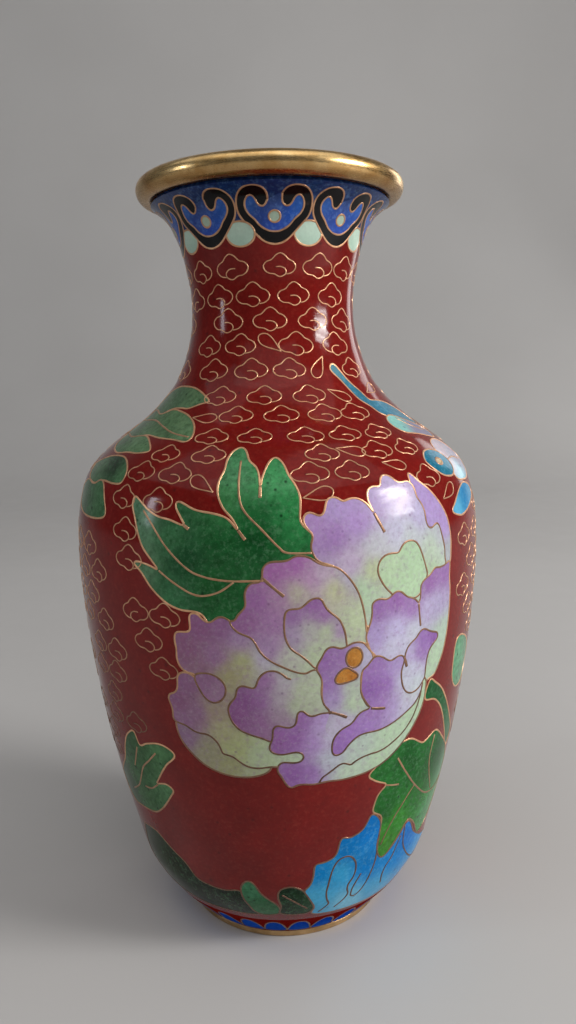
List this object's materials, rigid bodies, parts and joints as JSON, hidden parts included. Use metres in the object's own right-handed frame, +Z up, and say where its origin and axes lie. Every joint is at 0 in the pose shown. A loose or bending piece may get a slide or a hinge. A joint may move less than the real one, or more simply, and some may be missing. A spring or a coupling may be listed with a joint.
{
  "type": "cloisonne vase",
  "caption": "Round-bellied metal vase with a slender neck and flared gilt mouth, its outside covered in coloured enamel cells between fine wires.",
  "frame": {"origin": "centre of the foot, on the surface it stands on", "axes": "+Z up along the vase's axis; the main flower faces -Y, with +X to its right"},
  "size_m": [0.0818, 0.0818, 0.15],
  "materials": {
    "copper": "satin hammered copper sheet, hidden under the enamel",
    "gilt_edge": "satin gilt, worn at the lower edge",
    "gilt_rim": "satin gilt with fine scratches",
    "gilt_wire": "polished flush with the enamel, thin gilding",
    "lining": "plain turquoise blue counter enamel, slightly mottled",
    "red_ground": "deep glossy brick red enamel",
    "collar_blue": "glossy mottled cobalt enamel",
    "black_enamel": "glossy black enamel",
    "royal_blue": "glossy royal blue enamel, lighter in places",
    "pale_mint": "glossy pale mint enamel",
    "mauve_petal": "glossy mauve enamel fading to pale green",
    "orange_enamel": "glossy orange enamel",
    "leaf_green": "glossy green enamel with dark specks",
    "sky_blue": "glossy sky blue enamel",
    "teal_wing": "glossy teal enamel fading to pale pink",
    "rose_petal": "glossy pink enamel fading to cream",
    "border_blue": "glossy blue enamel"
  },
  "bodies": {
    "root": {"body_shell": "copper", "neck_shell": "copper", "base_plate": "copper", "foot_ring": "gilt_edge", "rim_ring": "gilt_rim", "lining_enamel": "lining", "base_enamel": "lining", "border_ground": "red_ground", "body_ground": "red_ground", "neck_ground": "red_ground", "collar_enamel": "collar_blue", "ruyi_bands": "black_enamel", "ruyi_hearts": "royal_blue", "ruyi_dots": "pale_mint", "collar_drops": "pale_mint", "collar_wires": "gilt_wire", "peony_petals": "mauve_petal", "peony_stamens": "orange_enamel", "peony_wires": "gilt_wire", "leaves": "leaf_green", "leaf_wires": "gilt_wire", "blue_flower": "sky_blue", "blue_flower_wires": "gilt_wire", "butterfly": "teal_wing", "butterfly_wires": "gilt_wire", "rear_blossom": "rose_petal", "rear_blossom_wires": "gilt_wire", "foot_scallops": "border_blue", "foot_wires": "gilt_wire", "cloud_wires": "gilt_wire"}
  },
  "joints": []
}
